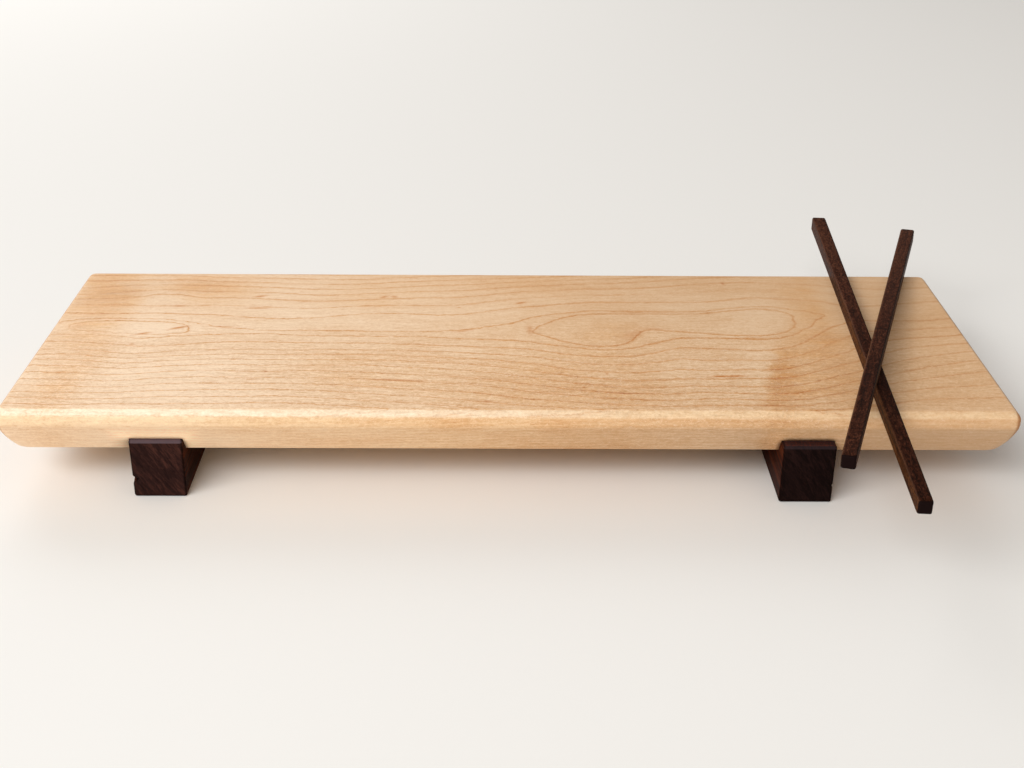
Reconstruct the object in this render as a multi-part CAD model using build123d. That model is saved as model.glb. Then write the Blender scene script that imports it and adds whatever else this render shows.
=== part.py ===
from build123d import *
import math
import os

# Sushi geta: a pale plank standing on two let-in feet, with a pair of square chopsticks crossed on it.
# Millimetres. The origin is on the table under the middle of the plank, +X runs along the plank,
# +Y to its back edge and +Z up.

# Plank: the length and depth are over the land, its widest outline
board_length = 332.0
board_depth = 121.0
board_thickness = 18.0
top_chamfer = 2.0
edge_land = 3.5
undercut = 8.4
end_draft = 0.5
top_corner_radius = 1.6
land_corner_radius = 2.0
bottom_corner_radius = 7.2

# Feet: bars that run front to back, housed in the underside
foot_width = 17.5
foot_stand = 15.7
foot_setback = 2.0
foot_left_inset = 50.2
foot_right_inset = 67.5
foot_left_shift = 1.3
foot_right_shift = -1.3
foot_end_chamfer = 1.1
foot_arris = 0.5
housing_depth = 5.4
housing_fit = 0.05

# Chopsticks: square in section, thinner at the tip, crossed near the plank's right end
stick_length = 237.0
stick_tip = 4.4
stick_handle = 5.6
stick_arris = 0.4
cross_from_right = 42.7
cross_from_front = 26.3
lower_turn = 4.0
upper_turn = 18.6
lower_handle_reach = 147.7
upper_handle_reach = 149.1
rest_gap = 0.05

serving_height = foot_stand + board_thickness
cross_x = board_length / 2 - cross_from_right
cross_y = -board_depth / 2 + cross_from_front
back_arris_y = board_depth / 2 - top_chamfer


def plank_outline(height, end_inset, side_inset, corner_radius):
    """The plank's outline at one height, drawn in at its ends and along its sides."""
    length = board_length - 2 * end_inset
    depth = board_depth - 2 * side_inset
    return Pos(0, 0, height) * RectangleRounded(length, depth, corner_radius)


def make_board(foot_places):
    """The plank: flat top, chamfer, upright land, long sides undercut, and a housing over each foot."""
    land_top = serving_height - top_chamfer
    land_bottom = land_top - edge_land
    outlines = [
        plank_outline(foot_stand, end_draft, undercut, bottom_corner_radius),
        plank_outline(land_bottom, 0, 0, land_corner_radius),
        plank_outline(land_top, 0, 0, land_corner_radius),
        plank_outline(serving_height, top_chamfer, top_chamfer, top_corner_radius),
    ]
    plank = loft(outlines, ruled=True)
    housing = Box(
        foot_width + 2 * housing_fit,
        board_depth,
        housing_depth,
        align=(Align.CENTER, Align.CENTER, Align.MIN),
    )
    for x, _ in foot_places:
        plank -= Pos(x, 0, foot_stand) * housing
    return plank


def make_foot():
    """One foot: its side view drawn out to its width, with the ends' top edges cut back."""
    half_length = board_depth / 2 - foot_setback
    height = foot_stand + housing_depth
    side_view = Plane.YZ * Polygon(
        (-half_length + foot_arris, 0),
        (half_length - foot_arris, 0),
        (half_length, foot_arris),
        (half_length, height - foot_end_chamfer),
        (half_length - foot_end_chamfer, height),
        (-half_length + foot_end_chamfer, height),
        (-half_length, height - foot_end_chamfer),
        (-half_length, foot_arris),
        align=None,
    )
    foot = extrude(side_view, foot_width / 2, both=True)
    sides = foot.faces().filter_by(Axis.X)
    return chamfer(sides.edges(), foot_arris)


def stick_size(reach):
    """The side of the stick's square section, that far from its tip."""
    return stick_tip + (stick_handle - stick_tip) * reach / stick_length


def stick_outline(reach, inset):
    """The stick's square outline with its corners eased, that far from its tip, drawn in by an inset."""
    size = stick_size(reach)
    square = Rectangle(size - 2 * inset, size - 2 * inset)
    return Plane.XZ * Pos(0, size / 2, -reach) * chamfer(square.vertices(), stick_arris)


def make_stick():
    """One chopstick: tip at the origin, handle towards +Y, lying on its flat underside."""
    outlines = [
        stick_outline(0, stick_arris),
        stick_outline(stick_arris, 0),
        stick_outline(stick_length - stick_arris, 0),
        stick_outline(stick_length, stick_arris),
    ]
    return loft(outlines, ruled=True)


def upper_tilt():
    """How steeply the upper stick lies, from the plank's back arris up onto the lower stick.

    The flats of the two sticks overlap in a long rhombus. The upper one bears on its rear corner.
    """
    lower_reach = stick_length - lower_handle_reach
    upper_reach = stick_length - upper_handle_reach
    crossing = math.sin(math.radians(upper_turn - lower_turn))
    along_lower = (stick_size(upper_reach) / 2 - stick_arris) / crossing
    along_upper = (stick_size(lower_reach) / 2 - stick_arris) / crossing
    bearing_y = cross_y + along_lower * math.cos(math.radians(lower_turn))
    bearing_y += along_upper * math.cos(math.radians(upper_turn))
    bearing_height = stick_size(lower_reach + along_lower + along_upper)
    return math.degrees(math.atan2(bearing_height, back_arris_y - bearing_y))


foot_places = {
    "foot_left": (-board_length / 2 + foot_left_inset, foot_left_shift),
    "foot_right": (board_length / 2 - foot_right_inset, foot_right_shift),
}

foot = make_foot()
stick = make_stick()
tilt = upper_tilt()

lower_place = (
    Pos(cross_x, cross_y, serving_height)
    * Rot(0, 0, -lower_turn)
    * Pos(0, lower_handle_reach - stick_length, 0)
)
upper_place = (
    Pos(0, back_arris_y, serving_height + rest_gap)
    * Rot(-tilt, 0, 0)
    * Pos(cross_x, (cross_y - back_arris_y) / math.cos(math.radians(tilt)), 0)
    * Rot(0, 0, -upper_turn)
    * Pos(0, upper_handle_reach - stick_length, 0)
)

nodes = {"board": make_board(foot_places.values())}
for name, (x, y) in foot_places.items():
    nodes[name] = Pos(x, y, 0) * foot
nodes["chopstick_lower"] = lower_place * stick
nodes["chopstick_upper"] = upper_place * stick

os.makedirs("parts", exist_ok=True)
for name, solid in nodes.items():
    export_step(solid, f"parts/{name}.step")
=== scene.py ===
import math

import bpy
import numpy as np
from mathutils import Matrix, Vector


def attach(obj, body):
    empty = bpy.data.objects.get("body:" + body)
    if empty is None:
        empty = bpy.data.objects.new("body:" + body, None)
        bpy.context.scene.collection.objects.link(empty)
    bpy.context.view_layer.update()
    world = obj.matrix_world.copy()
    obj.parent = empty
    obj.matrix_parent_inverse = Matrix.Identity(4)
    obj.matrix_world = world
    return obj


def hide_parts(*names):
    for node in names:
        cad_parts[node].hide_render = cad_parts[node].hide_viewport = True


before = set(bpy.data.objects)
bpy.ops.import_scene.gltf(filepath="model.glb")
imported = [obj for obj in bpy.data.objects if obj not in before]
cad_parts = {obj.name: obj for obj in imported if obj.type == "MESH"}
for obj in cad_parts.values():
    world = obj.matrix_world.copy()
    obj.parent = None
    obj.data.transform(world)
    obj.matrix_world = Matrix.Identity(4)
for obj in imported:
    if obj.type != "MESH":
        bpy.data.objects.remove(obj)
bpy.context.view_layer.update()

# Board: one thick flat-sawn plank of hard maple, planed, with its top edges chamfered, its long sides
# undercut and its arrises eased by hand with fine paper. Two housings are cut across its underside,
# right through to both long sides, and the feet are glued up into them.
MM = 0.001
BOARD_HALF_LENGTH = 166.0
BOARD_HALF_DEPTH = 60.5
SERVING_HEIGHT = 33.7
LAND_TOP = 31.7
LAND_BOTTOM = 28.2
UNDERSIDE_HEIGHT = 15.7
TOP_CHAMFER = 2.0
UNDERCUT = 8.4
END_DRAFT = 0.5
TOP_CORNER_RADIUS = 1.6
LAND_CORNER_RADIUS = 2.0
BOTTOM_CORNER_RADIUS = 7.2
HOUSING_ROOF = 21.1
HOUSING_HALF_WIDTH = 8.8
FOOT_LEFT_X = -115.8
FOOT_RIGHT_X = 98.5
LATTICE_PITCH = 1.6
CORNER_LINES = np.array([0, 0.2, 0.45, 0.8, 1.25, 1.8, 2.5, 3.4, 4.6, 6.0, 7.5])
HOUSING_LINES = 12
MIDDLE_LINES = 123


def lattice_shell(xs, ys, zs):
    """The outer skin of a block of lattice lines: each surface point is one (i, j, k) of the lattice, once,
    and the quads of the six sides join them, facing outward."""
    shape = (len(xs), len(ys), len(zs))
    i, j, k = np.indices(shape)
    skin = (i == 0) | (i == shape[0] - 1) | (j == 0) | (j == shape[1] - 1) | (k == 0) | (k == shape[2] - 1)
    number = np.full(shape, -1)
    number[skin] = np.arange(skin.sum())
    quads = []
    for axis in range(3):
        for side in (0, -1):
            sheet = np.take(number, side, axis=axis)
            corners = [sheet[:-1, :-1], sheet[1:, :-1], sheet[1:, 1:], sheet[:-1, 1:]]
            corners = np.stack(corners, -1).reshape(-1, 4)
            outward = (side == -1) == (axis != 1)
            quads.append(corners if outward else corners[:, ::-1])
    return np.stack([i[skin], j[skin], k[skin]], -1), np.concatenate(quads), number


def add_piece(name, points_mm, faces):
    """A mesh object at the origin, with its place in its vertices."""
    mesh = bpy.data.meshes.new(name)
    mesh.from_pydata((np.asarray(points_mm) * MM).tolist(), [], faces)
    mesh.shade_smooth()
    mesh.update()
    piece = bpy.data.objects.new(name, mesh)
    bpy.context.scene.collection.objects.link(piece)
    return piece


def paint(piece, name, values):
    """One value, or one triple, at each vertex, for the material to read."""
    kind, part = ("FLOAT_VECTOR", "vector") if np.ndim(values) == 2 else ("FLOAT", "value")
    layer = piece.data.attributes.new(name, kind, "POINT")
    layer.data.foreach_set(part, np.asarray(values, np.float32).ravel())


def crowded(start, end):
    """Lattice lines from start to end, close together at both ends, where the corners turn, and a steady
    pitch apart between."""
    margin = CORNER_LINES[-1]
    count = int(round((end - start - 2 * margin) / LATTICE_PITCH))
    middle = np.linspace(start + margin, end - margin, count + 1)[1:-1]
    return np.concatenate([start + CORNER_LINES, middle, end - CORNER_LINES[::-1]])


def board_profile():
    """The edge profile as rings, each (end inset, side inset, height, corner radius): a line through the four
    arrises, each arris rounded by a small parabola that leaves and meets the flats a little way off. Below
    the land the corner radius grows as a power of the way down."""
    arrises = np.array([
        [END_DRAFT, UNDERCUT, UNDERSIDE_HEIGHT, BOTTOM_CORNER_RADIUS],
        [0.0, 0.0, LAND_BOTTOM, LAND_CORNER_RADIUS],
        [0.0, 0.0, LAND_TOP, LAND_CORNER_RADIUS],
        [TOP_CHAMFER, TOP_CHAMFER, SERVING_HEIGHT, TOP_CORNER_RADIUS],
    ])
    easing = [0.45, 1.25, 1.2, 0.6]
    corner_power = 2.4
    inward_below, inward_above = [3, 3, 0, -1], [3, 3, 0, -0.8]
    bevel_height = LAND_BOTTOM - UNDERSIDE_HEIGHT
    roof_part = (HOUSING_ROOF - UNDERSIDE_HEIGHT) / bevel_height
    rows_after = {0: [0.05, 0.18, 0.31, roof_part, 0.56, 0.69, 0.8, 0.9], 1: [0.5], 2: [0.6]}
    path = np.vstack([arrises[0] + inward_below, arrises, arrises[3] + inward_above])
    s = np.linspace(0, 1, 5)[:, None]
    rings = []
    for n in range(len(arrises)):
        before, here, after = path[n], path[n + 1], path[n + 2]
        leave = here + (before - here) * easing[n] / np.linalg.norm((before - here)[1:3])
        meet = here + (after - here) * easing[n] / np.linalg.norm((after - here)[1:3])
        rings.append((1 - s) ** 2 * leave + 2 * s * (1 - s) * here + s**2 * meet)
        rings += [(here + (after - here) * part)[None] for part in rows_after.get(n, [])]
    rings = np.concatenate(rings)
    below = np.clip((LAND_BOTTOM - rings[:, 2]) / bevel_height, 0, 1)
    turned = LAND_CORNER_RADIUS + (BOTTOM_CORNER_RADIUS - LAND_CORNER_RADIUS) * below**corner_power
    rings[:, 3] = np.where(below > 0, turned, rings[:, 3])
    return rings


def board_points(place, xs, ys, rings):
    """Each lattice point set on its ring: end lines slide with the ring's length, cross lines scale with its
    depth, and a corner square is bent to a quarter disc of the ring's corner radius."""
    slide_from = BOARD_HALF_LENGTH - 21.0
    end_inset, side_inset, height, radius = rings[place[:, 2]].T
    x = xs[place[:, 0]]
    slide = np.clip((np.abs(x) - slide_from) / (BOARD_HALF_LENGTH - slide_from), 0, 1)
    x = x - np.sign(x) * end_inset * slide
    y = ys[place[:, 1]] * (BOARD_HALF_DEPTH - side_inset) / BOARD_HALF_DEPTH
    centre = np.stack([BOARD_HALF_LENGTH - end_inset - radius, BOARD_HALF_DEPTH - side_inset - radius], -1)
    flat = np.stack([x, y], -1)
    over = np.maximum(np.abs(flat) - centre, 0)
    corner = (over > 0).all(1)
    reach = np.maximum(np.hypot(over[:, 0], over[:, 1]), 1e-9)
    bent = over * (over.max(1) / reach)[:, None]
    flat = np.where(corner[:, None], np.sign(flat) * (centre + bent), flat)
    return np.column_stack([flat, height])


def smooth_curve(x, places, heights):
    """A smooth curve through given heights at given places: cubic pieces whose slope at each place is the
    mean slope of its neighbours."""
    places, heights = np.asarray(places, float), np.asarray(heights, float)
    slopes = np.gradient(heights, places)
    x = np.clip(x, places[0], places[-1])
    n = np.clip(np.searchsorted(places, x, side="right") - 1, 0, len(places) - 2)
    width = places[n + 1] - places[n]
    t = (x - places[n]) / width
    ends = heights[n] * (1 + 2 * t) * (1 - t) ** 2 + heights[n + 1] * t**2 * (3 - 2 * t)
    return ends + width * (slopes[n] * t * (1 - t) ** 2 - slopes[n + 1] * t**2 * (1 - t))


def fade(distance, reach):
    """A bell: one at no distance, falling away to both sides over a reach."""
    return np.exp(-((distance / reach) ** 2))


def swellings(x, y, table):
    """The sum of bells that are each (middle along, middle across, half length, half depth, height)."""
    return sum(
        height * fade(x - at_x, along) * fade(y - at_y, across)
        for at_x, at_y, along, across, height in table
    )


# Growth rings of the serving face: how far out the figure runs to front and back, where the limb grew at
# the right end, and small bends, each (along, across, half length, half depth, rings).
FIGURE_EDGE = 58.0
LIMB_X = 94
RINGS_PER_MM_DOWN = 0.5
RING_BENDS = [
    (-129, 34, 8, 6, -0.6), (-131, 24, 10, 4, 0.35), (-166, 39, 16, 7, 0.6),
    (66, -22, 12, 15, -0.3), (66, -48, 14, 8, 0.27),
]


def growth_rings(x, y):
    """How many growth rings the serving face has crossed at a point, counted from the heart of the figure.
    The heart is a line along the plank, with its own least count. From it the count rises to ring one at a
    back and a front line, as a power of the way there. Behind, it runs evenly to a second line, and on to the
    back edge, crowding a little. In front it runs on to the front edge, evenly at the ends and quicker and
    quicker in the middle, past a dip near the left end and a lift by the limb, where the front line calms
    down to a flatter one. Small bends and two slow waves come last."""
    heart = smooth_curve(
        x,
        [-166, -156, -145, -132, -118, -100, -60, -18, -8, 6, 25, 45, 60, 80, 95, 106, 117, 130, 166],
        [4.5, 6.5, 6.5, 5, 4, 3, 1.0, 0.7, 1.6, 3.6, 6.5, 11, 12.5, 12.5, 12, 14, 19, 22, 27],
    )
    least = smooth_curve(
        x,
        [-166, -157, -150, -130, -121, -116, -108, -98, -60, -18,
         -8, 6, 25, 45, 62, 80, 95, 106, 117, 166],
        [0.4, 0.02, -0.25, -0.45, -0.3, 0.02, 0.6, 0.7, 0.7, 0.8,
         0.5, 0.0, -0.75, -0.7, -0.4, -0.5, -0.7, 0.0, 0.85, 1.3],
    )
    back = smooth_curve(
        x,
        [-166, -156, -136, -122, -114, -106, -92, -72, -46, -26, -18, -8, 4,
         8, 16, 27, 45, 60, 72, 82, 92, 102, 110, 117, 140, 166],
        [8, 12, 13.6, 12.4, 9.6, 6.8, 4.8, 3.4, 2.3, 1.9, 2.6, 7.2, 13,
         16, 19, 21.6, 21.3, 21.3, 22.5, 25.5, 27.3, 26, 22.5, 20, 24, 29],
    )
    front = smooth_curve(
        x,
        [-166, -150, -137, -130, -118, -106, -72, -46, -26, -18, -8, 4, 18,
         30, 44, 52, 60, 68, 80, 94, 103, 109, 117, 140, 166],
        [0.0, -0.6, -1.8, -2.8, -0.8, 0.0, -0.6, -1.0, -1.2, -1.8, -3.2, -5.2, -9,
         -11.4, -11, -7.6, -2.2, -0.9, -1, -1.2, 2, 8, 18, 20, 25],
    )
    second = smooth_curve(
        x,
        [-166, -150, -133, -116, -100, -73, -55, -40, -15, 0, 15, 28, 45, 60, 75, 92, 106, 120, 140, 166],
        [17.5, 17.5, 20, 18.7, 17, 14.8, 17.3, 19.3, 21, 24.4, 27, 30, 31, 31.3, 33, 36, 33.5, 31, 32, 36],
    )
    front_power = smooth_curve(
        x,
        [-166, -20, 4, 14, 22, 34, 43, 47, 51, 55, 64, 80, 94, 166],
        [3, 3, 2, 2.4, 4, 6.5, 3, 1.1, 0.8, 1.1, 3, 6, 4, 4],
    )
    back_power = smooth_curve(x, [-166, -20, 4, 14, 26, 166], [4, 4, 2, 2.4, 4, 4])
    first = np.maximum(least, 1.0)
    inside = np.where(y > heart, (y - heart) / (back - heart), (heart - y) / (heart - front))
    power = np.where(y > heart, back_power, front_power)
    core = least + (first - least) * np.clip(inside, 0, 1) ** power

    crowding = 0.38
    back_rings = smooth_curve(
        x, [-166, -120, -60, 0, 50, 90, 130, 166], [8.3, 8.6, 9.0, 7.7, 6.3, 5.3, 5.6, 6.4]
    )
    near_back = first + (y - back) / (second - back)
    up = (y - second) / (FIGURE_EDGE - second)
    far_back = first + 1 + (back_rings - first - 1) * ((1 - crowding) * up + crowding * up * np.abs(up))

    front_rings = smooth_curve(
        x,
        [-166, -110, -50, 0, 35, 75, 100, 130, 166],
        [12.6, 12.6, 12.3, 10.7, 9.7, 9.8, 10.0, 10.6, 11.0],
    )
    evenness = smooth_curve(
        x,
        [-166, -40, 0, 35, 55, 75, 90, 117, 140, 166],
        [1.0, 1.0, 0.96, 0.87, 0.78, 0.7, 0.66, 0.72, 0.88, 1.0],
    )
    calm = smooth_curve(x, [LIMB_X, 103, 109, 117, 130, 166], [-1.2, 0.5, 2.0, 4.5, 7, 13])
    dip = smooth_curve(x, [-166, -150, -134, -120, -100, -80, -50], [1.6, 2.0, 3.0, 2.0, 0.6, 0, 0])
    lift = smooth_curve(x, [90, 97, 105, 113, 122, 166], [0, 1.6, 5, 8, 9, 9])
    calm_reach, lift_reach = 16, 14
    past_front = np.minimum(y - front, 0)
    low = np.clip(-y / FIGURE_EDGE, 0, 1)
    y_front = y + dip * np.sin(np.pi * low**1.3)
    y_front = y_front - lift * (1 - low**3) * (1 - np.exp(past_front / lift_reach))
    level = np.where(x > LIMB_X, calm + (front - calm) * np.exp(past_front / calm_reach), front)
    down = (level - y_front) / (level + FIGURE_EDGE)
    spread = evenness * down + (1 - evenness) * down**4
    spread = spread - 0.05 * fade(down - 0.2, 0.13) * np.clip((10 - x) / 50, 0, 1)
    lower = first + (front_rings - first) * spread

    rings = np.where(y > second, far_back, np.where(y > back, near_back, np.where(y < front, lower, core)))
    waves = 0.1 * np.sin(x / 17 + y / 9) + 0.06 * np.sin(x / 8.3 - y / 13)
    return rings + swellings(x, y, RING_BENDS) + waves


def ring_layers(points_mm):
    """Growth rings all through the plank: the serving face's count, less one for each two millimetres
    down."""
    x, y, z = points_mm.T
    return growth_rings(x, y) - RINGS_PER_MM_DOWN * (SERVING_HEIGHT - z)


# Patches of silk, each (along, across, half length, half depth, strength), and places where the lines blur.
# The amber patch at 113 along, running the whole depth, is painted shadow of the lower stick.
PALE_PATCHES = [
    (-129, -2, 7, 46, 0.55), (-128, 4, 12, 4.5, 0.6), (-112, -46, 26, 22, 1.2), (-132, 30, 7, 12, 0.25),
    (80, 2, 16, 20, 0.4), (-22, 14, 22, 12, 0.5), (-84, 48, 16, 14, 0.15), (66, -50, 14, 10, 0.4),
]
AMBER_AND_STICK_SHADOW_PATCHES = [
    (-150, -42, 8, 24, 1.15), (-155, 44, 12, 22, 2.1), (-122, 48, 11, 13, 1.6), (-144, 36, 7, 12, 0.9),
    (-132, 46, 7, 10, 0.45), (-109, 42, 12, 13, 0.8), (-152, 8, 11, 22, 1.0), (-142, -16, 5, 12, 0.5),
    (-46, -30, 24, 14, 0.65), (14, -26, 24, 18, 0.65), (10, -50, 40, 10, 0.5), (42, -42, 18, 14, 0.3),
    (38, 2, 12, 9, 0.55), (-50, 34, 18, 12, 0.6), (113, 4, 7.5, 60, 1.1), (10, 50, 20, 9, 0.5),
    (40, -17, 16, 10, 0.4),
]
BLURRED_LINES = [(-143, 0, 15, 6, 0.7), (-159, 6, 6, 8, 0.5)]


def silk(x, y):
    """Where the fibres tip towards or away from the light: pale and amber patches across the plank, and by
    the limb a pale slope that ends at one sharp wavy side, with a dark slope past it. The long amber strip
    beside the lower stick is painted shadow of that stick."""
    past = x - 91 - 0.24 * (y + 25) + 0.9 * np.sin(y / 2.3) + 0.6 * np.sin(y / 1.1 + 1)
    limb = fade(y + 30, 28) / (1 + np.exp(past / 1.5)) * np.exp(np.minimum(past, 0) / 24)
    shade = fade(y + 35, 27) / (1 + np.exp(-past / 1.2)) * np.exp(-np.maximum(past, 0) / 9)
    return swellings(x, y, PALE_PATCHES) - swellings(x, y, AMBER_AND_STICK_SHADOW_PATCHES) + 0.9 * limb - 3.0 * shade


def line_fade(x, y):
    """How clear the ring lines are: one, but for the near side of the eye at the left end, where they
    blur."""
    return 1 - swellings(x, y, BLURRED_LINES)


left_housing = (FOOT_LEFT_X - HOUSING_HALF_WIDTH, FOOT_LEFT_X + HOUSING_HALF_WIDTH)
right_housing = (FOOT_RIGHT_X - HOUSING_HALF_WIDTH, FOOT_RIGHT_X + HOUSING_HALF_WIDTH)
crowded_count = len(CORNER_LINES) - 1
board_xs = np.unique(np.concatenate([
    crowded(-BOARD_HALF_LENGTH, left_housing[0])[:-crowded_count],
    np.linspace(*left_housing, HOUSING_LINES),
    np.linspace(left_housing[1], right_housing[0], MIDDLE_LINES),
    np.linspace(*right_housing, HOUSING_LINES),
    crowded(right_housing[1], BOARD_HALF_LENGTH)[crowded_count:],
]).round(6))
board_ys = crowded(-BOARD_HALF_DEPTH, BOARD_HALF_DEPTH)
board_rings = board_profile()
board_place, board_quads, board_number = lattice_shell(board_xs, board_ys, board_rings)
board_spots = board_points(board_place, board_xs, board_ys, board_rings)

roof_ring = int(np.argmin(np.abs(board_rings[:, 2] - HOUSING_ROOF)))
quad_x = board_spots[board_quads, 0].mean(1)
below_roof = board_place[board_quads, 2].max(1) <= roof_ring
in_housing = np.zeros(len(board_quads), bool)
housing_faces = []
for housing_start, housing_end in (left_housing, right_housing):
    in_housing |= below_roof & (quad_x > housing_start) & (quad_x < housing_end)
    first = int(np.argmin(np.abs(board_xs - housing_start)))
    last = int(np.argmin(np.abs(board_xs - housing_end)))
    front_line = board_number[first:last + 1, 0, roof_ring]
    back_line = board_number[first:last + 1, -1, roof_ring]
    roof = np.stack([front_line[:-1], back_line[:-1], back_line[1:], front_line[1:]], -1)
    housing_faces += roof.tolist()
    for wall, turn in ((first, 1), (last, -1)):
        front_side = board_number[wall, 0, :roof_ring + 1][::-1]
        underside = board_number[wall, 1:-1, 0]
        back_side = board_number[wall, -1, :roof_ring + 1]
        housing_faces.append(np.concatenate([front_side, underside, back_side])[::turn].tolist())
board_faces = board_quads[~in_housing].tolist() + housing_faces
board = add_piece("maple_board", board_spots, board_faces)

RING_PROBE = 1.2
LEAST_RING_SLOPE = 0.03
normals = np.empty(len(board_spots) * 3, np.float32)
board.data.vertex_normals.foreach_get("vector", normals)
normals = normals.reshape(-1, 3)
ring_slope = np.stack([
    (ring_layers(board_spots + step) - ring_layers(board_spots - step)) / (2 * RING_PROBE)
    for step in np.eye(3) * RING_PROBE
], -1)
ring_slope -= normals * (ring_slope * normals).sum(1)[:, None]
paint(board, "rings", ring_layers(board_spots))
paint(board, "ring_width", 1 / np.maximum(np.linalg.norm(ring_slope, axis=1), LEAST_RING_SLOPE))
paint(board, "silk", silk(board_spots[:, 0], board_spots[:, 1]))
paint(board, "line_fade", line_fade(board_spots[:, 0], board_spots[:, 1]))


class Wire:
    """One socket of a material's nodes, so that shader maths reads as plain expressions."""

    def __init__(self, tree, socket=None):
        self.tree = tree
        self.socket = socket

    def add(self, kind, sockets=None, output=0, stops=None, **settings):
        """A new node: its settings first, then a value or a link for each named socket."""
        node = self.tree.nodes.new("ShaderNode" + kind)
        for name, value in settings.items():
            setattr(node, name, value)
        if stops:
            ramp = node.color_ramp.elements
            while len(ramp) < len(stops):
                ramp.new(0.5)
            for element, (position, colour) in zip(ramp, stops):
                element.position = position
                element.color = colour
        for name, value in (sockets or {}).items():
            if isinstance(value, Wire):
                self.tree.links.new(value.socket, node.inputs[name])
            else:
                node.inputs[name].default_value = value
        return Wire(self.tree, node.outputs[output] if node.outputs else None)

    def math(self, operation, *others):
        """A Math node on this value and any others."""
        return self.add("Math", dict(enumerate((self, *others))), operation=operation)

    def __add__(self, other):
        return self.math("ADD", other)

    __radd__ = __add__

    def __sub__(self, other):
        return self.math("SUBTRACT", other)

    def __rsub__(self, other):
        return self.add("Math", {0: other, 1: self}, operation="SUBTRACT")

    def __mul__(self, other):
        return self.math("MULTIPLY", other)

    __rmul__ = __mul__

    def __truediv__(self, other):
        return self.math("DIVIDE", other)

    def __rtruediv__(self, other):
        return self.add("Math", {0: other, 1: self}, operation="DIVIDE")

    def step(self, low, high, to_low=0.0, to_high=1.0):
        """A smooth rise from one value to another as this runs from low to high."""
        sockets = {"Value": self, "From Min": low, "From Max": high, "To Min": to_low, "To Max": to_high}
        return self.add("MapRange", sockets, interpolation_type="SMOOTHSTEP")

    def noise(self, scale, detail=2.0, roughness=0.5, distortion=0.0):
        """Cloudy noise about zero, read at this place, with its own scale along each axis."""
        spot = self.add("Mapping", {"Vector": self, "Scale": scale}, vector_type="POINT")
        sockets = {"Vector": spot, "Scale": 1.0, "Detail": detail, "Roughness": roughness}
        return self.add("TexNoise", {**sockets, "Distortion": distortion}) - 0.5

    def bell(self, width):
        """One at zero, fading to both sides over a width."""
        ratio = self / width
        return (ratio * ratio * -1.0).math("EXPONENT")

    def mixed(self, colour, factor, **settings):
        """This colour mixed with another by a factor."""
        return self.add("Mix", {0: factor, 6: self, 7: colour}, output=2, data_type="RGBA", **settings)

    def tinted(self, colour, factor):
        """This colour passing to another by a factor."""
        return self.mixed(colour, factor, clamp_factor=True)

    def stained(self, colour, factor):
        """This colour seen through a coloured stain, laid on by a factor."""
        return self.mixed(colour, factor, blend_type="MULTIPLY", clamp_factor=True)

    def scaled(self, factor):
        """This colour made lighter or darker by a factor."""
        grey = self.add("CombineColor", {0: factor, 1: factor, 2: factor})
        return self.mixed(grey, 1.0, blend_type="MULTIPLY")

    def part(self, axis):
        """One of the three parts of this place, in millimetres."""
        return self.add("SeparateXYZ", {"Vector": self}, output=axis) * (1 / MM)


def tone(red, green, blue):
    """A colour given as it looks on a screen (0 to 255), as the light it stands for."""
    shown = np.array([red, green, blue]) / 255
    light = np.where(shown <= 0.04045, shown / 12.92, ((shown + 0.055) / 1.055) ** 2.4)
    return (*light.tolist(), 1.0)


def new_material(name):
    """A material with no nodes yet, and the wire that adds them."""
    material = bpy.data.materials.new(name)
    material.use_nodes = True
    material.node_tree.nodes.clear()
    return material, Wire(material.node_tree)


def painted(start, name):
    """A value painted on the piece's vertices."""
    return start.add("Attribute", output="Fac", attribute_name=name)


OIL_IOR = 1.46


def oiled(wood, rough, relief, strength, distance, gloss):
    """Oiled wood: its colour, roughness and fine relief, with a little gloss, joined to the output."""
    bump = wood.add("Bump", {"Height": relief, "Strength": strength, "Distance": distance}, output="Normal")
    sockets = {"Base Color": wood, "Roughness": rough, "Normal": bump}
    skin = wood.add("BsdfPrincipled", {**sockets, "IOR": OIL_IOR, "Specular IOR Level": gloss}, output="BSDF")
    wood.add("OutputMaterial", {"Surface": skin})


# Marks on the serving face, each (along, across, half length, half thickness, turn, strength), in millimetres
# and degrees, and how deep they go.
MARK_DEPTH = 2
MAPLE_MARKS = [
    (-131.0, 0.4, 2.6, 0.6, 20, 1.0), (-119.5, 5.6, 3.2, 0.7, 25, 1.1), (-94.2, 35.6, 2.6, 0.7, 15, 0.9),
    (-123.5, 25.7, 2.4, 0.6, 0, 0.75), (-39.0, -37.0, 8.0, 0.5, -2, 0.7), (4.7, 30.0, 2.0, 0.7, 25, 1.0),
    (-18.5, 25.3, 0.8, 0.4, 0, 0.6), (71.6, -33.3, 3.2, 0.6, 1, 1.1), (77.2, -33.0, 3.2, 0.6, 1, 1.1),
    (-82.7, -30.7, 0.6, 0.45, -30, 0.8), (33.3, -31.7, 0.5, 0.5, 40, 0.8), (25.0, -42.0, 0.6, 0.5, 0, 0.8),
    (84.0, 50.3, 0.7, 1.4, 10, 0.6), (-7.3, -52.7, 1.0, 0.6, 0, 0.6), (37.0, -46.5, 3.0, 0.5, -5, 0.5),
    (-156.0, 7.0, 3.0, 2.2, 30, 0.25), (7.8, 5.0, 1.1, 4.0, 0, 0.5), (53.0, 6.2, 3.0, 0.9, -5, 0.35),
    (-15.8, 4.0, 3.6, 0.8, 24, 0.4), (44.5, 1.2, 5.5, 2.4, 50, 0.34), (-103.0, 6.6, 5.0, 0.55, -4, 0.6),
    (-86.7, -36.7, 2.0, 0.45, 0, 0.5), (-133.0, -8.9, 1.0, 1.0, 0, 0.5), (-47.4, 35.3, 1.6, 0.9, 40, 0.75),
    (-43.4, 35.6, 1.3, 0.9, -35, 0.65), (-93.5, 24.1, 3.8, 0.6, 2, 0.9),
]


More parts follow.
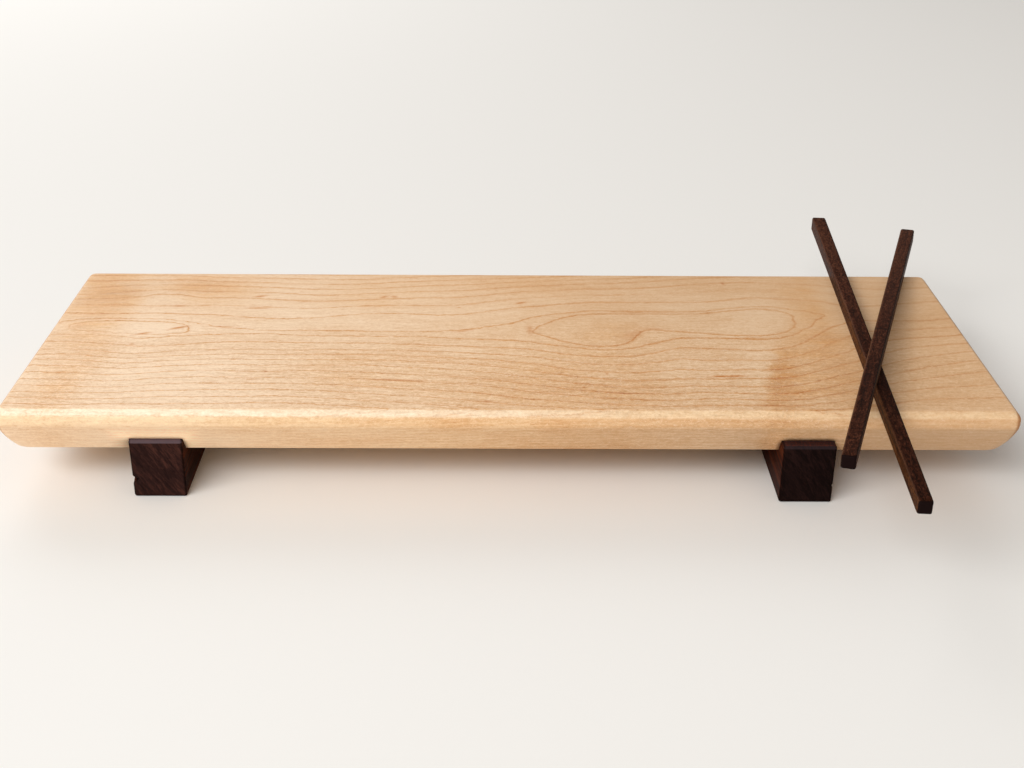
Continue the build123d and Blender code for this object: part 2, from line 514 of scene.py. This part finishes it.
def maple_marks(place):
    """The marks of the serving face together: each a bell about its middle, stretched and turned its own
    way."""
    marks = 0.0
    for at_x, at_y, long, thick, turn, depth in MAPLE_MARKS:
        spot = place.add("Mapping", {
            "Vector": place,
            "Location": (at_x * MM, at_y * MM, SERVING_HEIGHT * MM),
            "Rotation": (0, 0, math.radians(turn)),
            "Scale": (long * MM, thick * MM, MARK_DEPTH * MM),
        }, vector_type="TEXTURE")
        squared = spot.add("VectorMath", {0: spot, 1: spot}, output="Value", operation="DOT_PRODUCT")
        marks = (squared * -1.0).math("EXPONENT") * depth + marks
    return marks.math("MINIMUM", 1.0)


def maple_lines(start, place, steady, above_land):
    """The ring count with a slight wander, and the brown line that closes each ring, from none to full: a
    bell about each whole count, with a soft tail on its early side. A line's strength is its own for each
    ring and changes along it, less where the lines are steady. Fainter lines run halfway between."""
    rings, width, clear = painted(start, "rings"), painted(start, "ring_width"), painted(start, "line_fade")
    x, y = place.part("X"), place.part("Y")
    wander = place.noise((60, 150, 150), 2.0) * 1.6 + place.noise((300, 420, 420), 3.0, 0.65) * 2.0
    count = rings + wander / width
    away = ((count + 0.5).math("FRACT") - 0.5) * width
    early_side = away.math("LESS_THAN", 0.0)
    broad = 0.3 + x.step(-60.0, 60.0, 0.0, 0.2) * y.step(-30.0, -5.0, 0.5, 1.0)
    broad = broad + y.step(15.0, 35.0, 0.0, 0.22)
    line = away.bell(broad) + early_side * (away / 1.2).math("EXPONENT") * 0.18

    which = (count + 0.5).math("FLOOR")
    own = start.add("TexWhiteNoise", {"W": which + 0.37}, noise_dimensions="1D")
    along = place.noise((26, 70, 70), 2.0) + place.noise((150, 260, 260), 2.0) * 0.9
    at_heart = (which - 0.5).math("ABSOLUTE").math("LESS_THAN", 0.7)
    strength = 0.55 + own * (0.4 - steady * 0.3) + along * (1.8 - steady * 1.2)
    strength = strength + steady * (0.18 + x.step(-20.0, 40.0, 0.0, 0.04))
    strength = strength.math("MAXIMUM", at_heart * (0.85 + along)).step(0.05, 1.1, 0.06, 1.0)
    strength = strength * clear * above_land.step(0.0, 1.0, 0.3, 1.0) * x.step(90.0, 112.0, 1.0, 0.66)
    strength = strength * (1.0 - x.step(-80.0, 40.0, 0.0, 0.15) * (1.0 - steady))
    strength = strength * y.step(15.0, 35.0, 1.0, 0.62)

    between = ((count * 2.0).math("FRACT") - 0.5) * width * 0.5
    patchy = (place.noise((50, 110, 110), 3.0, 0.6) + y.step(20.0, -30.0, -0.08, 0.1)).step(0.0, 0.25)
    faint = between.bell(0.3) * patchy * (0.14 + (x + 20.0).bell(45.0) * 0.34)
    return count, (line * strength).math("MAXIMUM", faint)


def maple_material():
    """Flat-sawn maple under a satin oil: soft brown ring lines on pale early wood, with fibres, flecks, marks
    and silk. The chamfer and land are painted paler as a sheen, strongest at the left end, and the bevel is
    painted lighter at the left and darker at the right. The ends are browner, the right end more so as
    painted shade, and a painted shadow line rims each housing, with painted light on the bevel round each
    foot."""
    early_tones = [
        (0.1, tone(243, 212, 178)), (0.42, tone(233, 194, 153)),
        (0.7, tone(223, 177, 130)), (1.0, tone(207, 154, 103)),
    ]
    late_stain, dash_stain = (0.74, 0.44, 0.13, 1.0), (0.74, 0.48, 0.26, 1.0)
    mark_stain, amber_and_shadow_stain = (0.72, 0.38, 0.1, 1.0), (1.0, 0.9, 0.72, 1.0)
    end_grain_and_shade_stain, side_stain = (0.62, 0.43, 0.28, 1.0), (1.0, 0.95, 0.85, 1.0)
    chamfer_stain = (1.0, 0.94, 0.84, 1.0)
    fleck_tone, joint_shadow_tone = tone(252, 228, 200), tone(52, 30, 22)
    chamfer_sheen_tone, land_sheen_tone = tone(255, 241, 214), tone(255, 228, 188)

    material, start = new_material("maple")
    place = start.add("TexCoord", output="Object")
    silky = painted(start, "silk")
    x, y, z = place.part("X"), place.part("Y"), place.part("Z")
    above_bevel = z.step(LAND_BOTTOM - 1.0, LAND_BOTTOM + 1.0)
    above_land = z.step(LAND_TOP - 0.7, LAND_TOP + 0.5)
    above_chamfer = z.step(SERVING_HEIGHT - 0.3, SERVING_HEIGHT - 0.08)
    at_end = x.math("ABSOLUTE").step(BOARD_HALF_LENGTH - 2.1, BOARD_HALF_LENGTH - 1.1)
    end_grain = at_end * (1.0 - above_chamfer)
    chamfer = above_land * (1.0 - above_chamfer) * (1.0 - end_grain)
    land = above_bevel * (1.0 - above_land)
    nearness = y.step(30.0, -35.0, 0.7, 1.5) * x.step(80.0, 130.0, 1.0, 0.6)
    steady = y.step(8.0, -10.0)
    rough_cut = above_land.step(0.0, 1.0, 0.6, 1.0)

    count, late = maple_lines(start, place, steady, above_land)
    flow = start.add("CombineXYZ", {"X": x * 0.02, "Y": count * 3.2, "Z": y * 0.01})
    streak = flow.noise((1, 1, 1), 3.0, 0.6)
    fine = flow.noise((2.5, 2.6, 2), 3.0, 0.7) * nearness
    cloud = place.noise((12, 26, 26), 3.0)
    patch = place.noise((45, 110, 110), 2.0)
    fibre = place.noise((150, 1500, 1500), 3.0, 0.6) * nearness
    flame = place.noise((40, 170, 170), 3.0, 0.65)
    wool = place.noise((560, 950, 950), 3.0, 0.75, 0.8) * nearness
    mottle = place.noise((350, 700, 700), 3.0, 0.7, 1.0)
    squiggle = place.noise((420, 800, 800), 2.0, 0.5, 1.5).math("ABSOLUTE").step(0.035, 0.0) * nearness
    dash_places = (place.noise((22, 40, 40), 2.0) + x.step(40.0, -40.0, 0.0, 0.12)).step(-0.06, 0.2)
    dash = place.noise((330, 2500, 2500), 1.0, 0.5).step(0.17, 0.27) * dash_places

    warmth = 0.36 + cloud * 0.6 + patch * 0.24 + streak * 0.3 - silky * 0.2
    # Darker and warmer towards the right end: partly the wood's own tone, partly painted shade of the light
    # falling off from the left.
    warmth = warmth + x.step(-160.0, 170.0, -0.07, 0.28)
    warmth = warmth + (wool * 0.85 + fibre * 0.55 + fine * 0.26) * rough_cut - (1.0 - above_bevel) * 0.1
    wood = start.add("ValToRGB", {"Fac": warmth}, stops=early_tones)
    # Amber from the silk values, which include the painted shadow beside the lower stick.
    amber = (silky * -0.42 * (1.0 + flame * 6.0)).math("MAXIMUM", 0.0)
    wood = wood.stained(amber_and_shadow_stain, amber * above_land)
    wood = wood.stained(late_stain, late * (0.97 - steady * 0.16))
    wood = wood.stained(dash_stain, dash * 0.7)
    wood = wood.tinted(fleck_tone, squiggle * 0.28)
    wood = wood.stained(mark_stain, maple_marks(place) * (1.0 + wool))

    # Painted sheen: the chamfer and land painted paler, most towards the left end nearest the lamp, with
    # mottled strength.
    mottling = mottle * x.step(-170.0, 60.0, 1.8, 0.5)
    wood = wood.tinted(chamfer_sheen_tone, chamfer * (x.step(-170.0, 120.0, 0.56, 0.3) + mottling))
    mottling = mottle * x.step(-170.0, 60.0, 1.6, 0.5)
    wood = wood.tinted(land_sheen_tone, land * (x.step(-170.0, 20.0, 0.46, -0.1) + mottling))
    wood = wood.stained(chamfer_stain, chamfer * x.step(-20.0, 60.0))
    # End grain stained browner; the right end more so, as painted shade on the end that faces away from the
    # lamp.
    wood = wood.stained(end_grain_and_shade_stain, end_grain * x.step(-1.0, 1.0, 0.6, 0.95))
    wood = wood.stained(side_stain, (1.0 - above_land) * (x + 15.0).bell(90.0))
    # Painted light and shade: the bevel lighter towards the left end and darker towards the right.
    wood = wood.scaled(1.0 + (1.0 - above_bevel) * x.step(-170.0, 150.0, 0.07, -0.09))
    for foot_x in (FOOT_LEFT_X, FOOT_RIGHT_X):
        off = ((x - foot_x).math("ABSOLUTE") - HOUSING_HALF_WIDTH).math("MAXIMUM", z - HOUSING_ROOF)
        # Painted shadow: a thin dark line along the joint where the foot enters its housing.
        wood = wood.tinted(joint_shadow_tone, off.bell(0.14) * 0.5)
        # Painted light: the bevel lighter close to each foot, cancelling the shade the foot casts there.
        wood = wood.scaled(1.0 + off.bell(4.5) * (1.0 - above_bevel) * 0.34)
    dimmer = (x + 152.0).bell(24.0) * y.step(15.0, 45.0) * 0.05
    dimmer = dimmer + x.step(-30.0, 80.0) * (0.065 + y.step(-10.0, 30.0) * 0.03)
    wood = wood.scaled(1.0 - dimmer - (fibre * 0.16 + wool * 0.18 + fine * 0.06) * rough_cut)
    rough = 0.5 + fibre * 0.2 + late * 0.05
    oiled(wood, rough, relief=fibre * 0.4 + wool * 0.6, strength=0.16, distance=0.4 * MM, gloss=0.35)
    return material


board.data.materials.append(maple_material())
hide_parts("board")
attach(board, "stand")

# Feet: two bars of dark brown hardwood, sawn and planed, with their grain running front to back, so that
# end grain shows at the front. Their end top edges are cut back, and they stand glued in the housings.
FOOT_HALF_WIDTH = 8.75
FOOT_HALF_LENGTH = 58.5
FOOT_END_CHAMFER = 1.1
FOOT_SHIFT = 1.3
FOOT_ARRIS_RADIUS = 0.85
FOOT_CORNER_LINES = np.array([0, 0.1, 0.22, 0.36, 0.52, 0.7, 0.88, 1.2, 1.9])
FOOT_PITCHES = (1.6, 5.0, 0.45)
CUT_SOFTNESS = 0.02
CHIP_REACH = 1.3


def eased_block(place_mm, half, radius):
    """A block with rounded arrises: the part of a point outside the inner block is pulled to one radius.
    Gives the points, and the way that each one faces."""
    inner = np.clip(place_mm, radius - half, half - radius)
    over = place_mm - inner
    facing = over / np.maximum(np.linalg.norm(over, axis=1), 1e-9)[:, None]
    return inner + radius * facing, facing


def arris_mask(facing):
    """Nearly one along an arris and zero on the flats: the second largest of the three parts of its
    facing."""
    return np.clip(1.6 * np.sort(np.abs(facing), axis=1)[:, 1] - 0.2, 0, 1)


def foot_points(chips):
    """A foot about its own middle: an eased block, its end top edges planed off by a softened flat at 45
    degrees, and small chips, each (side, height, half height, depth), that fade as bells along the front
    arrises. Gives the points, the faces, the arrises and where the long grain shows."""
    half = np.array([FOOT_HALF_WIDTH, FOOT_HALF_LENGTH, HOUSING_ROOF / 2])
    margin = FOOT_CORNER_LINES[-1]
    lines = []
    for h, pitch in zip(half, FOOT_PITCHES):
        middle = np.linspace(-h + margin, h - margin, int((2 * h - 2 * margin) / pitch) + 2)[1:-1]
        lines.append(np.concatenate([-h + FOOT_CORNER_LINES, middle, h - FOOT_CORNER_LINES[::-1]]))
    place, quads, _ = lattice_shell(*lines)
    spots = np.stack([line[place[:, n]] for n, line in enumerate(lines)], -1)
    spots, facing = eased_block(spots, half, FOOT_ARRIS_RADIUS)
    long_grain = (1 - np.abs(facing[:, 1])) * (1 - 0.85 * np.clip(facing[:, 2], 0, 1))
    facing[:, 1] *= facing[:, 2] <= 0
    over = (np.abs(spots[:, 1]) - half[1] + spots[:, 2] - half[2] + FOOT_END_CHAMFER) / math.sqrt(2)
    cut = (over + np.sqrt(over**2 + CUT_SOFTNESS)) / 2 / math.sqrt(2)
    long_grain *= 1 - np.clip(cut * 4, 0, 1)
    spots[:, 1] -= np.sign(spots[:, 1]) * cut
    spots[:, 2] -= cut
    for side, height, tall, deep in chips:
        from_arris = (half[0] - np.abs(spots[:, 0])) + (spots[:, 1] + half[1])
        bite = deep * fade(spots[:, 2] + half[2] - height, tall) * fade(from_arris, CHIP_REACH)
        bite = np.where(spots[:, 0] * side > 0, bite, 0)
        spots[:, 0] -= side * bite
        spots[:, 1] += bite
    return spots, quads.tolist(), arris_mask(facing), long_grain


def dark_wood_material():
    """Dark brown hardwood under oil: nearly black end grain with slanting red-brown bands, and redder long
    grain streaked from front to back. The chamfered end edges carry a painted grey sheen and are torn a
    little along their top, and every arris is painted dark as shade."""
    sheen_from, torn_from = 19.95, 20.8
    material, start = new_material("dark_hardwood")
    place = start.add("TexCoord", output="Object")
    figure, arris = painted(start, "figure"), painted(start, "arris")
    long_grain = painted(start, "long_grain")
    x, y, z = place.part("X"), place.part("Y"), place.part("Z")
    flow = start.add("CombineXYZ", {"X": x * 0.85 + z * 0.53, "Y": z * 0.85 - x * 0.53, "Z": y})
    band = flow.noise((0.42, 0.05, 0.01), 2.0, 0.5, 0.4)
    streak = flow.noise((1.5, 0.28, 0.02), 3.0, 0.7, 0.8)
    pore = flow.noise((2.6, 1.6, 0.05), 2.0, 0.6).step(0.1, 0.28)
    glint = flow.noise((1.9, 1.9, 0.1), 3.0, 0.7, 1.5).step(0.2, 0.3)
    shade = figure.step(0.0, 1.0, 0.13, 0.45) + band * (0.3 + figure * 0.45) + streak * (0.5 + figure * 0.35)
    ends = start.add("ValToRGB", {"Fac": shade}, stops=[
        (0.1, tone(18, 9, 8)), (0.4, tone(43, 25, 22)), (0.65, tone(68, 40, 33)), (0.95, tone(98, 58, 46)),
    ])
    sides = start.add("ValToRGB", {"Fac": 0.5 + band * 0.9 + streak * 1.9}, stops=[
        (0.2, tone(26, 8, 3)), (0.5, tone(58, 22, 10)), (0.85, tone(104, 50, 27)),
    ])
    wood = ends.tinted(sides.scaled(1.05 - figure * 0.45), long_grain)
    wood = wood.tinted(tone(16, 8, 7), pore * 0.6)
    wood = wood.tinted(tone(112, 62, 46), glint * 0.3)
    # Painted sheen: the end chamfers greyer, most on the left foot.
    chamfer_sheen = z.step(sheen_from, sheen_from + 0.2) * (1.0 - long_grain)
    wood = wood.tinted(tone(88, 74, 79), chamfer_sheen * figure.step(0.0, 1.0, 0.08, 0.85))
    # Painted shade: every arris of the feet darkened.
    wood = wood.tinted(tone(10, 5, 5), arris * 0.8)
    ragged = flow.noise((2.4, 0.8, 0.8), 3.0, 0.7).step(-0.1, 0.15)
    torn = z.step(torn_from, torn_from + 0.15) * ragged * long_grain.step(0.3, 0.0)
    wood = wood.tinted(tone(98, 44, 24), torn * (0.8 - figure * 0.45))
    rough = 0.5 + streak * 0.3 + pore * 0.2
    oiled(wood, rough, relief=streak - pore, strength=0.2, distance=0.4 * MM, gloss=0.02)
    return material


dark_wood = dark_wood_material()
# Each foot: its node, its place along and across, how bold the figure of its end grain is, and its chips.
feet = [
    ("foot_left", FOOT_LEFT_X, FOOT_SHIFT, 1.0, [(-1, 6.3, 0.75, 2.0)]),
    ("foot_right", FOOT_RIGHT_X, -FOOT_SHIFT, 0.2, [(1, 6.2, 0.4, 0.4)]),
]
for node, x, y, figure, chips in feet:
    spots, faces, arris, long_grain = foot_points(chips)
    foot = add_piece("dark_" + node, spots + [x, y, HOUSING_ROOF / 2], faces)
    paint(foot, "figure", np.full(len(spots), figure))
    paint(foot, "arris", arris)
    paint(foot, "long_grain", long_grain)
    foot.data.materials.append(dark_wood)
    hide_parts(node)
    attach(foot, "stand")

# Chopsticks: a pair of square tapered sticks of the same dark hardwood, sanded and oiled, with eased arrises.
# One lies flat on the board. The other crosses it, from the board's back arris up onto the first stick.
STICK_LENGTH = 237.0
STICK_TIP = 4.4
STICK_HANDLE = 5.6
STICK_ARRIS = 0.4
STICK_CORNER_LINES = np.array([0, 0.08, 0.18, 0.32, 0.5, 0.68, 1.2])
STICK_LINES = 120
BAR_HALF = 2.5
BAR_ROUNDING = 0.65
CROSS = (123.3, -34.2)
LOWER_TURN, LOWER_REACH = 4.0, STICK_LENGTH - 147.7
UPPER_TURN, UPPER_REACH = 18.6, STICK_LENGTH - 149.1
BACK_ARRIS_Y = 58.5
REST_GAP = 0.05
UPPER_FIGURE_SHIFT = 60.0


def stick_size(reach):
    """The side of the square section, growing evenly from tip to handle."""
    return STICK_TIP + (STICK_HANDLE - STICK_TIP) * reach / STICK_LENGTH


def stick_points():
    """A stick with its tip at the origin and its handle towards +Y: an eased bar whose square section grows
    evenly from tip to handle, lying on its underside, with both ends rounded over a little. Gives the points,
    the faces, the arrises (negative on the left) and the left side."""
    near, margin = STICK_CORNER_LINES, STICK_CORNER_LINES[-1]
    across = np.concatenate([-BAR_HALF + near, [-0.6, 0, 0.6], BAR_HALF - near[::-1]])
    middle = np.linspace(margin, STICK_LENGTH - margin, STICK_LINES)[1:-1]
    along = np.concatenate([near, middle, STICK_LENGTH - near[::-1]])
    place, quads, _ = lattice_shell(across, along, across)
    spots = np.stack([across[place[:, 0]], along[place[:, 1]] - STICK_LENGTH / 2, across[place[:, 2]]], -1)
    spots, facing = eased_block(spots, np.array([BAR_HALF, STICK_LENGTH / 2, BAR_HALF]), BAR_ROUNDING)
    from_end = STICK_LENGTH / 2 - np.abs(spots[:, 1])
    spots[:, [0, 2]] *= 1 - 0.1 * fade(from_end, 0.7)[:, None]
    spots[:, 1] += STICK_LENGTH / 2
    size = stick_size(spots[:, 1])
    spots[:, 0] *= size / (2 * BAR_HALF)
    spots[:, 2] = (spots[:, 2] / (2 * BAR_HALF) + 0.5) * size
    return spots, quads.tolist(), arris_mask(facing) * np.sign(facing[:, 0]), np.clip(-facing[:, 0], 0, 1)


def turned(degrees, axis):
    """The matrix of a turn about an axis."""
    return np.array(Matrix.Rotation(math.radians(degrees), 3, axis))


def upper_tilt():
    """How steeply the upper stick lies: the flats of the two sticks overlap in a long rhombus, and the upper
    one rises from the board's back arris to the rhombus's rear corner."""
    crossing = math.sin(math.radians(UPPER_TURN - LOWER_TURN))
    along_lower = (stick_size(UPPER_REACH) / 2 - STICK_ARRIS) / crossing
    along_upper = (stick_size(LOWER_REACH) / 2 - STICK_ARRIS) / crossing
    bearing_y = CROSS[1] + along_lower * math.cos(math.radians(LOWER_TURN))
    bearing_y += along_upper * math.cos(math.radians(UPPER_TURN))
    bearing_height = stick_size(LOWER_REACH + along_lower + along_upper)
    return math.degrees(math.atan2(bearing_height, BACK_ARRIS_Y - bearing_y))


tilt = upper_tilt()
stick_spots, stick_faces, stick_arris, stick_left = stick_points()
lower_spots = (stick_spots - [0, LOWER_REACH, 0]) @ turned(-LOWER_TURN, "Z").T + [*CROSS, SERVING_HEIGHT]
upper_flat = (stick_spots - [0, UPPER_REACH, 0]) @ turned(-UPPER_TURN, "Z").T
upper_flat = upper_flat + [CROSS[0], (CROSS[1] - BACK_ARRIS_Y) / math.cos(math.radians(tilt)), 0]
upper_spots = upper_flat @ turned(-tilt, "X").T + [0, BACK_ARRIS_Y, SERVING_HEIGHT + REST_GAP]


def stick_material():
    """The sticks' dark hardwood: curly red-brown figure along the stick, dark ends, a left flank painted
    paler, partly as light on the side facing the lamp, the right arris painted dark as shade and the left one
    paler as a painted highlight, fine pores, and a hairline across the upper stick."""
    hairline_at = 108.0
    material, start = new_material("stick_hardwood")
    place = start.add("Attribute", output="Vector", attribute_name="along_stick")
    arris, left_side = painted(start, "arris"), painted(start, "left_side")
    along = start.add("SeparateXYZ", {"Vector": place}, output="Y")
    is_upper = start.add("SeparateXYZ", {"Vector": place}, output="X").step(20.0, 40.0)
    streak = place.noise((0.7, 0.02, 0.7), 3.0, 0.6)
    figure = place.noise((0.8, 0.22, 0.8), 3.0, 0.6, 2.2)
    curl = place.noise((1.6, 0.5, 1.6), 2.0, 0.6, 1.6)
    pore = place.noise((3.0, 0.14, 3.0), 2.0, 0.6).step(0.1, 0.28)
    curly = place.noise((0.5, 0.24, 0.5), 2.0, 0.55, 2.5).math("ABSOLUTE").step(0.055, 0.0)
    shade = along.step(20.0, 225.0, 0.4, 0.72) + streak + figure * 1.9 + curl * 1.3
    shade = shade + is_upper * along.step(90.0, 30.0, 0.0, 0.14)
    wood = start.add("ValToRGB", {"Fac": shade}, stops=[
        (0.05, tone(22, 9, 4)), (0.4, tone(50, 22, 11)), (0.65, tone(67, 34, 22)), (0.95, tone(92, 54, 37)),
    ])
    flank = start.add("ValToRGB", {"Fac": 0.5 + streak * 2.2 + figure * 1.2}, stops=[
        (0.2, tone(52, 27, 14)), (0.55, tone(92, 54, 29)), (0.85, tone(122, 78, 44)),
    ])
    # The left flank painted paler and amber: partly the wood's own streaks, partly painted light on the side
    # facing the lamp.
    wood = wood.tinted(flank, left_side * along.step(165.0, 105.0, 0.1, 0.85))
    wood = wood.tinted(tone(20, 9, 6), curly * 0.8)
    wood = wood.tinted(tone(18, 9, 8), pore * 0.6)
    hairline = (along - hairline_at + curl * 1.2).bell(0.4) * is_upper * (0.7 + figure)
    # The hairline across the upper stick, and painted shade: the right arris dark, on the side away from the
    # lamp.
    wood = wood.tinted(tone(12, 7, 6), hairline.math("MAXIMUM", arris.math("MAXIMUM", 0.0) * 0.9))
    # Painted highlight: the left arris paler, where the lamp catches it.
    wood = wood.tinted(tone(104, 70, 54), (arris * -0.4).math("MAXIMUM", 0.0))
    ends = along.step(0.9, 0.4).math("MAXIMUM", along.step(STICK_LENGTH - 0.9, STICK_LENGTH - 0.4))
    wood = wood.tinted(tone(24, 13, 12), ends)
    rough = 0.48 + streak * 0.3 + pore * 0.2
    oiled(wood, rough, relief=streak - pore + curl * 0.5, strength=0.15, distance=0.3 * MM, gloss=0.02)
    return material


stick_wood = stick_material()
# Each stick: its node, its points, its body, and how far its figure is shifted, so that the two differ.
sticks = [
    ("chopstick_lower", lower_spots, "lower_stick", 0.0),
    ("chopstick_upper", upper_spots, "upper_stick", UPPER_FIGURE_SHIFT),
]
for node, spots, body, shift in sticks:
    stick = add_piece("dark_" + node, spots, stick_faces)
    paint(stick, "along_stick", stick_spots + [shift, 0, 0])
    paint(stick, "arris", stick_arris)
    paint(stick, "left_side", stick_left)
    stick.data.materials.append(stick_wood)
    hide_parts(node)
    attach(stick, body)

# Camera: the photograph's viewpoint, a little above and straight in front of the board.
# Worked out from the board's edges, the feet and the stick ends, for an image of 1024 by 768.
IMAGE_WIDTH = 1024
FOCAL_PIXELS = 1430.0
camera_place = (-3.3 * MM, -469.2 * MM, 243.8 * MM)
camera_pitch = math.radians(26.07)
camera_turn = math.radians(-0.57)
camera_roll = math.radians(0.46)

camera = bpy.data.objects.new("photo_camera", bpy.data.cameras.new("photo_camera"))
bpy.context.scene.collection.objects.link(camera)
camera.data.sensor_width = 36.0
camera.data.lens = FOCAL_PIXELS / IMAGE_WIDTH * camera.data.sensor_width
camera.data.clip_start = 0.01
camera.matrix_world = (
    Matrix.Translation(camera_place)
    @ Matrix.Rotation(camera_turn, 4, "Z")
    @ Matrix.Rotation(math.pi / 2 - camera_pitch, 4, "X")
    @ Matrix.Rotation(camera_roll, 4, "Z")
)
bpy.context.scene.camera = camera

# Table and light: a plain pale paper table, lit by a large soft panel high at the front left, a weaker one
# behind at the left, and the pale room all round.
FLOOR_HALF = 6
LAMP_COLOUR = (0.98, 0.995, 1.0)
ROOM_COLOUR = (1.0, 0.96, 0.91, 1.0)
ROOM_STRENGTH = 0.38

floor_material, start = new_material("pale_paper")
paper_sockets = {"Base Color": tone(242, 239, 235), "Roughness": 0.8, "Specular IOR Level": 0.2}
paper = start.add("BsdfPrincipled", paper_sockets, output="BSDF")
start.add("OutputMaterial", {"Surface": paper})
floor_mesh = bpy.data.meshes.new("floor")
floor_corners = [(sx * FLOOR_HALF, sy * FLOOR_HALF, 0) for sx, sy in ((-1, -1), (1, -1), (1, 1), (-1, 1))]
floor_mesh.from_pydata(floor_corners, [], [(0, 1, 2, 3)])
floor = bpy.data.objects.new("floor", floor_mesh)
bpy.context.scene.collection.objects.link(floor)
floor_mesh.materials.append(floor_material)


def soft_panel(name, place, aim, width, height, watts):
    """A rectangular lamp at a place (metres), turned to face a point."""
    data = bpy.data.lights.new(name, "AREA")
    data.shape = "RECTANGLE"
    data.size, data.size_y = width, height
    data.energy = watts
    data.color = LAMP_COLOUR
    lamp = bpy.data.objects.new(name, data)
    bpy.context.scene.collection.objects.link(lamp)
    facing_away = (Vector(place) - Vector(aim)).to_track_quat("Z", "Y")
    lamp.matrix_world = Matrix.Translation(place) @ facing_away.to_matrix().to_4x4()


soft_panel("front_panel", (-0.88, -1.24, 1.24), (0, 0, 0), 1.75, 0.8, 31.6)
soft_panel("back_panel", (-0.7, 1.2, 0.9), (-0.2, 0.8, 0), 1.0, 1.0, 8.6)
world = bpy.data.worlds.new("studio")
world.use_nodes = True
room = world.node_tree.nodes["Background"].inputs
room["Color"].default_value = ROOM_COLOUR
room["Strength"].default_value = ROOM_STRENGTH
bpy.context.scene.world = world
bpy.context.scene.view_settings.view_transform = "Standard"
